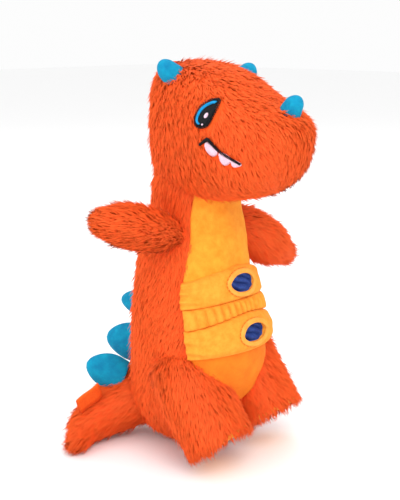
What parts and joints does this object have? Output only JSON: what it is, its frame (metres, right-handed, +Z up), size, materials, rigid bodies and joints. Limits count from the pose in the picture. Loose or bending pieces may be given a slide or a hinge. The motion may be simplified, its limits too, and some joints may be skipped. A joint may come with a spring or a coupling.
{
  "type": "stuffed dinosaur",
  "caption": "Upright plush dinosaur with long-pile orange fur, golden belly with pocket bands, teal horns and back spikes, and soft sewn limbs that flex.",
  "frame": {"origin": "on the standing surface, below the middle of the torso", "axes": "+Z up, the snout points along -Y, the toy's right side is -X"},
  "size_m": [0.2054, 0.1891, 0.2904],
  "materials": {
    "orange_fur": "long-pile faux fur, combed down and back, soft sheen on the tips",
    "belly_plush": "short golden plush, brushed patches",
    "opening_hem": "turned and top-stitched plush hem",
    "sole_plush": "short golden plush, flat pile",
    "blue_plush": "short teal plush",
    "navy_lining": "smooth polyester lining with a slight sheen",
    "eye_embroidery": "satin-stitch thread, black with a teal rim and a pale highlight",
    "mouth_embroidery": "black satin-stitch thread",
    "tooth_embroidery": "pale lilac satin-stitch thread",
    "woven_label": "folded woven satin label, blank",
    "fibre_fill": "loose polyester fibre"
  },
  "bodies": {
    "torso": {"torso_skin": "orange_fur", "torso_fill": "fibre_fill", "belly_panel": "belly_plush", "upper_pocket_band": "belly_plush", "lower_pocket_band": "belly_plush", "ruched_strip": "belly_plush", "upper_opening_ring": "opening_hem", "lower_opening_ring": "opening_hem", "upper_pocket_lining": "navy_lining", "lower_pocket_lining": "navy_lining", "back_spike_1": "blue_plush", "back_spike_2": "blue_plush"},
    "head": {"head_skin": "orange_fur", "head_fill": "fibre_fill", "right_horn": "blue_plush", "left_horn": "blue_plush", "nose_horn": "blue_plush", "right_eye": "eye_embroidery", "left_eye": "eye_embroidery", "right_mouth": "mouth_embroidery", "left_mouth": "mouth_embroidery", "right_teeth": "tooth_embroidery", "left_teeth": "tooth_embroidery"},
    "right_arm": {"right_arm_skin": "orange_fur", "right_arm_fill": "fibre_fill"},
    "left_arm": {"left_arm_skin": "orange_fur", "left_arm_fill": "fibre_fill"},
    "right_leg": {"right_leg_skin": "orange_fur", "right_leg_fill": "fibre_fill", "right_sole": "sole_plush"},
    "left_leg": {"left_leg_skin": "orange_fur", "left_leg_fill": "fibre_fill", "left_sole": "sole_plush"},
    "tail": {"tail_skin": "orange_fur", "tail_fill": "fibre_fill", "back_spike_3": "blue_plush", "tail_label": "woven_label"}
  },
  "joints": [
    {"name": "head_nod", "type": "hinge", "parent": "torso", "child": "head", "pos_m": [0, 0.002, 0.172], "axis": [1, 0, 0], "range_deg": [-12, 12], "stiffness_Nm_per_rad": 1.2},
    {"name": "right_shoulder", "type": "hinge", "parent": "torso", "child": "right_arm", "pos_m": [-0.041, -0.003, 0.171], "axis": [0, 1, 0], "range_deg": [-38, 35], "stiffness_Nm_per_rad": 0.15},
    {"name": "left_shoulder", "type": "hinge", "parent": "torso", "child": "left_arm", "pos_m": [0.041, -0.005, 0.168], "axis": [0, -1, 0], "range_deg": [-6, 45], "stiffness_Nm_per_rad": 0.15},
    {"name": "right_hip", "type": "hinge", "parent": "torso", "child": "right_leg", "pos_m": [-0.032, -0.016, 0.06], "axis": [-1, 0, 0], "range_deg": [-3, 7], "stiffness_Nm_per_rad": 2.5},
    {"name": "left_hip", "type": "hinge", "parent": "torso", "child": "left_leg", "pos_m": [0.032, -0.016, 0.06], "axis": [-1, 0, 0], "range_deg": [-3, 7], "stiffness_Nm_per_rad": 2.5},
    {"name": "tail_swing", "type": "hinge", "parent": "torso", "child": "tail", "pos_m": [-0.014, 0.042, 0.036], "axis": [0, 0, -1], "range_deg": [-8, 40], "stiffness_Nm_per_rad": 0.6}
  ]
}
